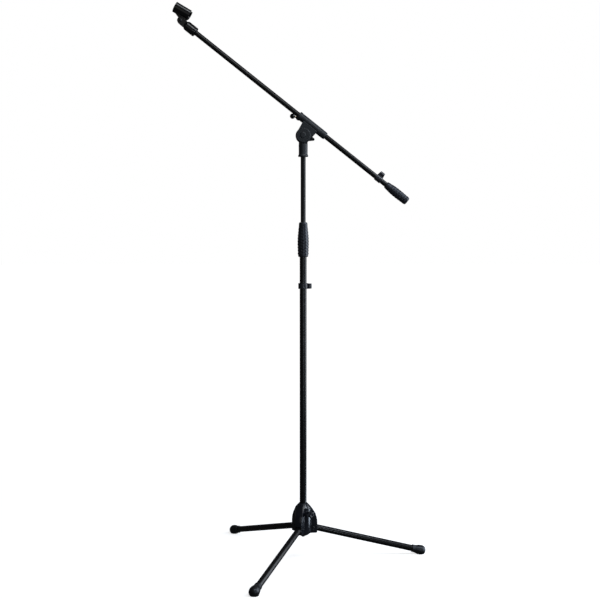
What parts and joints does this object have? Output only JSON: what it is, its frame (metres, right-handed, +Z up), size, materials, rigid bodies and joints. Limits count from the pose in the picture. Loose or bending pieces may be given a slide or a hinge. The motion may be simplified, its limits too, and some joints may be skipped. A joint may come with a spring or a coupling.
{
  "type": "boom microphone stand",
  "caption": "Folding tripod microphone stand with a twist-clutch telescopic mast and a tilting, sliding boom that carries a swivelling microphone clip.",
  "frame": {"origin": "the middle of the whole stand's box, on the floor under the feet", "axes": "+Z up along the mast; X is the direction the boom runs in, with the microphone end towards -X; +Y is away from the viewer"},
  "size_m": [0.8092, 0.6982, 1.7633],
  "materials": {
    "hub_plastic": "satin moulded plastic",
    "head_plastic": "matte moulded plastic",
    "clip_plastic": "glossy moulded plastic",
    "grip_rubber": "soft-touch rubber over plastic",
    "foot_rubber": "matte rubber",
    "nylon": "dark nylon",
    "tube_paint": "satin black powder coat on steel",
    "steel": "zinc-plated steel",
    "brass": "dull brass"
  },
  "bodies": {
    "base": {"base_housing": "hub_plastic", "mast_bush": "nylon", "knob_insert": "brass", "leg_pin_front": "steel", "leg_pin_right": "steel", "leg_pin_rear": "steel"},
    "leg_front": {"leg_tube_front": "tube_paint", "leg_knuckle_front": "nylon", "rubber_foot_front": "foot_rubber"},
    "leg_right": {"leg_tube_right": "tube_paint", "leg_knuckle_right": "nylon", "rubber_foot_right": "foot_rubber"},
    "leg_rear": {"leg_tube_rear": "tube_paint", "leg_knuckle_rear": "nylon", "rubber_foot_rear": "foot_rubber"},
    "base_knob": {"base_lock_knob": "hub_plastic", "base_lock_screw": "steel"},
    "mast": {"lower_tube": "tube_paint", "leg_stop_plug": "nylon", "plug_screw": "steel", "clutch_ferrule": "nylon"},
    "mast_cable_clip": {"mast_cable_clip": "clip_plastic"},
    "clutch": {"clutch_grip": "grip_rubber"},
    "collet": {"clutch_collet": "nylon", "collet_washer": "brass"},
    "upper_mast": {"upper_tube": "tube_paint", "guide_bush": "nylon", "tube_top_plug": "steel", "boom_socket": "head_plastic", "socket_set_screw": "steel", "friction_washer": "nylon"},
    "tilt_clamp": {"tilt_lever": "head_plastic", "pivot_bolt": "steel"},
    "boom_head": {"boom_clamp": "head_plastic", "pivot_nut": "steel", "pivot_cap": "head_plastic"},
    "boom_lock": {"boom_lock_screw": "brass", "boom_lock_bar": "brass", "boom_lock_ball": "clip_plastic"},
    "boom_sleeve": {"boom_liner": "nylon"},
    "boom": {"boom_tube": "tube_paint", "counterweight": "steel", "boom_handle": "grip_rubber", "boom_thread_end": "steel", "clip_base": "clip_plastic", "clip_thread_insert": "brass", "clip_nut": "steel"},
    "boom_cable_clip": {"boom_cable_clip": "clip_plastic"},
    "mic_clip": {"mic_cup": "clip_plastic"},
    "clip_clamp": {"clip_screw": "steel"}
  },
  "joints": [
    {"name": "leg_front_fold", "type": "hinge", "parent": "base", "child": "leg_front", "pos_m": [-0.00668, -0.00159, 0.1032], "axis": [0.9311, -0.3649, 0], "range_deg": [0, 75.6]},
    {"name": "leg_right_fold", "type": "hinge", "parent": "base", "child": "leg_right", "pos_m": [0.03667, 0.03283, 0.1032], "axis": [-0.1444, 0.9895, 0], "range_deg": [0, 75.6]},
    {"name": "leg_rear_fold", "type": "hinge", "parent": "base", "child": "leg_rear", "pos_m": [-0.01483, 0.05332, 0.1032], "axis": [-0.7848, -0.6198, 0], "range_deg": [0, 75.6]},
    {"name": "base_knob_turn", "type": "hinge", "parent": "base", "child": "base_knob", "pos_m": [0.005, 0.02821, 0.15], "axis": [0.6198, -0.7848, 0], "range_deg": [0, 180]},
    {"name": "mast_slide", "type": "slide", "parent": "base", "child": "mast", "axis": [0, 0, -1], "range_m": [0, 0.29]},
    {"name": "clutch_twist", "type": "hinge", "parent": "mast", "child": "clutch", "pos_m": [0.005, 0.02821, 1.02], "axis": [0, 0, 1], "range_deg": [0, 120]},
    {"name": "mast_pan", "type": "hinge", "parent": "mast", "child": "collet", "pos_m": [0.005, 0.02821, 1.055], "axis": [0, 0, 1], "continuous": true},
    {"name": "mast_height", "type": "slide", "parent": "collet", "child": "upper_mast", "axis": [0, 0, 1], "range_m": [-0.2, 0.45]},
    {"name": "tilt_lever_turn", "type": "hinge", "parent": "upper_mast", "child": "tilt_clamp", "pos_m": [0.005, 0.02821, 1.35], "axis": [0, 1, 0], "range_deg": [0, 180]},
    {"name": "boom_tilt", "type": "hinge", "parent": "upper_mast", "child": "boom_head", "pos_m": [0.005, 0.02821, 1.35], "axis": [0, 1, 0], "range_deg": [-125, 50]},
    {"name": "boom_lock_turn", "type": "hinge", "parent": "boom_head", "child": "boom_lock", "pos_m": [-0.0091, 0.02821, 1.40788], "axis": [0, 1, 0], "range_deg": [0, 180]},
    {"name": "boom_roll", "type": "hinge", "parent": "boom_head", "child": "boom_sleeve", "pos_m": [0.03084, 0.02821, 1.3826], "axis": [-0.7837, 0, 0.6211], "continuous": true},
    {"name": "boom_reach", "type": "slide", "parent": "boom_sleeve", "child": "boom", "axis": [-0.7837, 0, 0.6211], "range_m": [-0.39, 0.19]},
    {"name": "clip_tilt", "type": "hinge", "parent": "boom", "child": "mic_clip", "pos_m": [-0.37903, 0.02821, 1.70746], "axis": [0, 1, 0], "range_deg": [-95, 8]},
    {"name": "clip_screw_turn", "type": "hinge", "parent": "boom", "child": "clip_clamp", "pos_m": [-0.37903, 0.02821, 1.70746], "axis": [0, -1, 0], "continuous": true},
    {"name": "boom_cable_clip_slide", "type": "slide", "parent": "boom", "child": "boom_cable_clip", "axis": [0.7837, 0, -0.6211], "range_m": [-0.1, 0.019]},
    {"name": "mast_cable_clip_slide", "type": "slide", "parent": "mast", "child": "mast_cable_clip", "axis": [0, 0, 1], "range_m": [-0.35, 0.078]}
  ]
}
